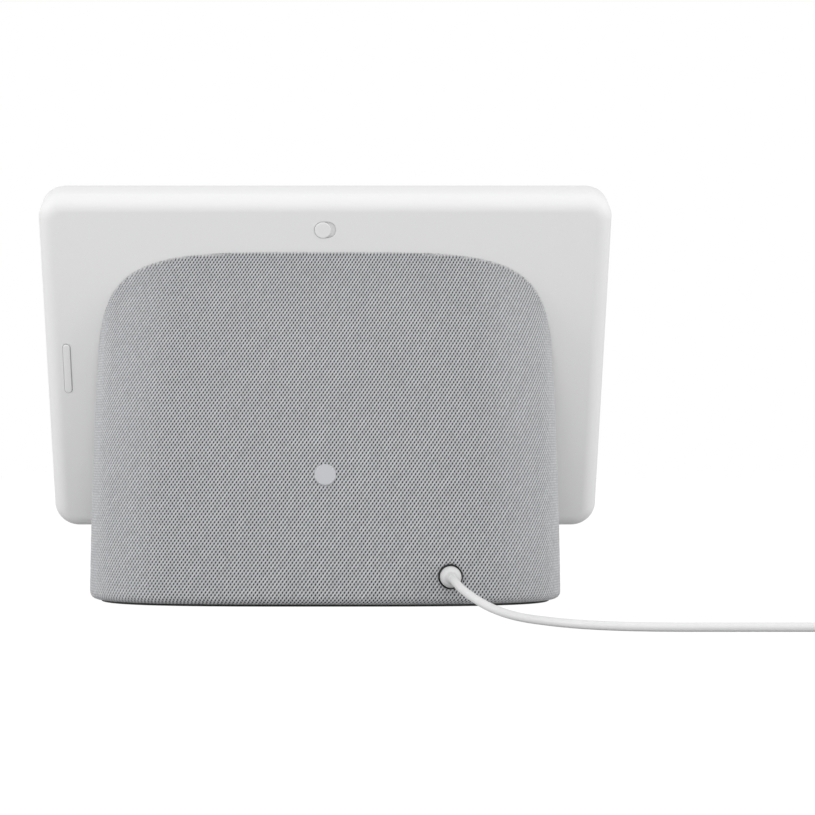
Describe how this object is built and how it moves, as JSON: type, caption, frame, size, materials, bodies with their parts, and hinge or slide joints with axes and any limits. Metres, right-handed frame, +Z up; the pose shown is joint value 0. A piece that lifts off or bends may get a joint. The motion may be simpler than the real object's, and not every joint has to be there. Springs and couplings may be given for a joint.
{
  "type": "smart display",
  "caption": "Leaning touch screen on a knitted speaker base, with a sliding microphone switch, a volume rocker and a mains adapter on a thin lead.",
  "frame": {"origin": "on the table, below the middle of the object as it stands without its lead and adapter", "axes": "+Z is up. +X runs along the display. The screen faces -Y and leans back towards +Y, where the inlet and the controls are."},
  "size_m": [0.393, 0.2139, 0.1826],
  "materials": {
    "rear_shell": "fine satin texture, white",
    "control_plastic": "satin, white",
    "cover_glass": "polished, with a pale printed border round the dark screen area",
    "screen": "dark, switched off",
    "backlight_metal": "plain sheet",
    "black_plastic": "moulded, black",
    "grey_plastic": "moulded, grey",
    "switch_plastic": "moulded, off white",
    "circuit_board": "green solder mask",
    "sensor_glass": "polished",
    "sensor_metal": "gold plated cans",
    "sheet_steel": "plain pressed sheet",
    "screw_steel": "dark zinc",
    "antenna_foil": "copper film on a plastic backing",
    "cast_metal": "as cast",
    "flex_film": "amber film",
    "knit_fabric": "open knit, light grey thread over a darker ground",
    "badge_plastic": "satin, light grey",
    "magnet": "dark ferrite with steel plates",
    "surround_rubber": "smooth",
    "cone_paper": "pulp, dark",
    "coil_copper": "enamelled copper wire on a card former",
    "dome_silk": "coated silk",
    "foot_rubber": "moulded, dark grey",
    "jack_plastic": "moulded, black",
    "plug_metal": "nickel plated",
    "cable_pvc": "smooth, white",
    "tie_velour": "hook and loop strap, dark grey",
    "adapter_plastic": "fine texture, white",
    "prong_metal": "nickel plated blades"
  },
  "bodies": {
    "unit": {"cover_glass": "cover_glass", "lcd_panel": "screen", "backlight_tray": "backlight_metal", "display_frame": "black_plastic", "display_shell": "rear_shell", "sensor_board": "circuit_board", "camera_module": "black_plastic", "camera_lens": "sensor_glass", "microphones": "sensor_metal", "light_sensor": "black_plastic", "mute_switch": "switch_plastic", "rocker_bracket": "sheet_steel", "volume_board": "circuit_board", "antennas": "antenna_foil", "neck_bracket": "cast_metal", "neck_screws": "screw_steel", "display_screws": "screw_steel", "neck_frame": "black_plastic", "display_flex": "flex_film", "main_board": "circuit_board", "board_shield": "sheet_steel", "heat_spreader": "cast_metal", "board_screws": "screw_steel", "fabric_sleeve": "knit_fabric", "fabric_carrier": "grey_plastic", "rear_badge": "badge_plastic", "speaker_box": "black_plastic", "woofer_baffle": "black_plastic", "woofer_basket": "sheet_steel", "woofer_magnet": "magnet", "woofer_surround": "surround_rubber", "tweeter_left_frame": "black_plastic", "tweeter_right_frame": "black_plastic", "base_plate": "grey_plastic", "base_screws": "screw_steel", "rubber_foot": "foot_rubber", "jack_board": "circuit_board", "dc_jack": "jack_plastic", "jack_ring": "jack_plastic", "dc_plug": "plug_metal", "plug_boot": "cable_pvc", "cord_lead": "cable_pvc", "cord_coil": "cable_pvc", "coil_tie": "tie_velour", "cord_tail": "cable_pvc", "power_adapter": "adapter_plastic", "adapter_relief": "cable_pvc", "adapter_prongs": "prong_metal"},
    "mute_slider": {"mute_knob": "control_plastic", "mute_lever": "black_plastic"},
    "volume_key": {"volume_rocker": "control_plastic"},
    "woofer_diaphragm": {"woofer_cone": "cone_paper", "woofer_coil": "coil_copper"},
    "tweeter_diaphragm_left": {"tweeter_left_dome": "dome_silk"},
    "tweeter_diaphragm_right": {"tweeter_right_dome": "dome_silk"}
  },
  "joints": [
    {"name": "mute_slide", "type": "slide", "parent": "unit", "child": "mute_slider", "axis": [-1, 0, 0], "range_m": [0, 0.002]},
    {"name": "volume_rock", "type": "hinge", "parent": "unit", "child": "volume_key", "pos_m": [0.1152, -0.00569, 0.10461], "axis": [1, 0, 0], "range_deg": [-2, 2], "stiffness_Nm_per_rad": 0.02},
    {"name": "woofer_travel", "type": "slide", "parent": "unit", "child": "woofer_diaphragm", "axis": [0, 0.9914, 0.1305], "range_m": [-0.003, 0.003], "stiffness_N_per_m": 1500},
    {"name": "tweeter_left_travel", "type": "slide", "parent": "unit", "child": "tweeter_diaphragm_left", "axis": [0, 1, 0], "range_m": [-0.0002, 0.0002], "stiffness_N_per_m": 2000},
    {"name": "tweeter_right_travel", "type": "slide", "parent": "unit", "child": "tweeter_diaphragm_right", "axis": [0, 1, 0], "range_m": [-0.0002, 0.0002], "stiffness_N_per_m": 2000}
  ]
}
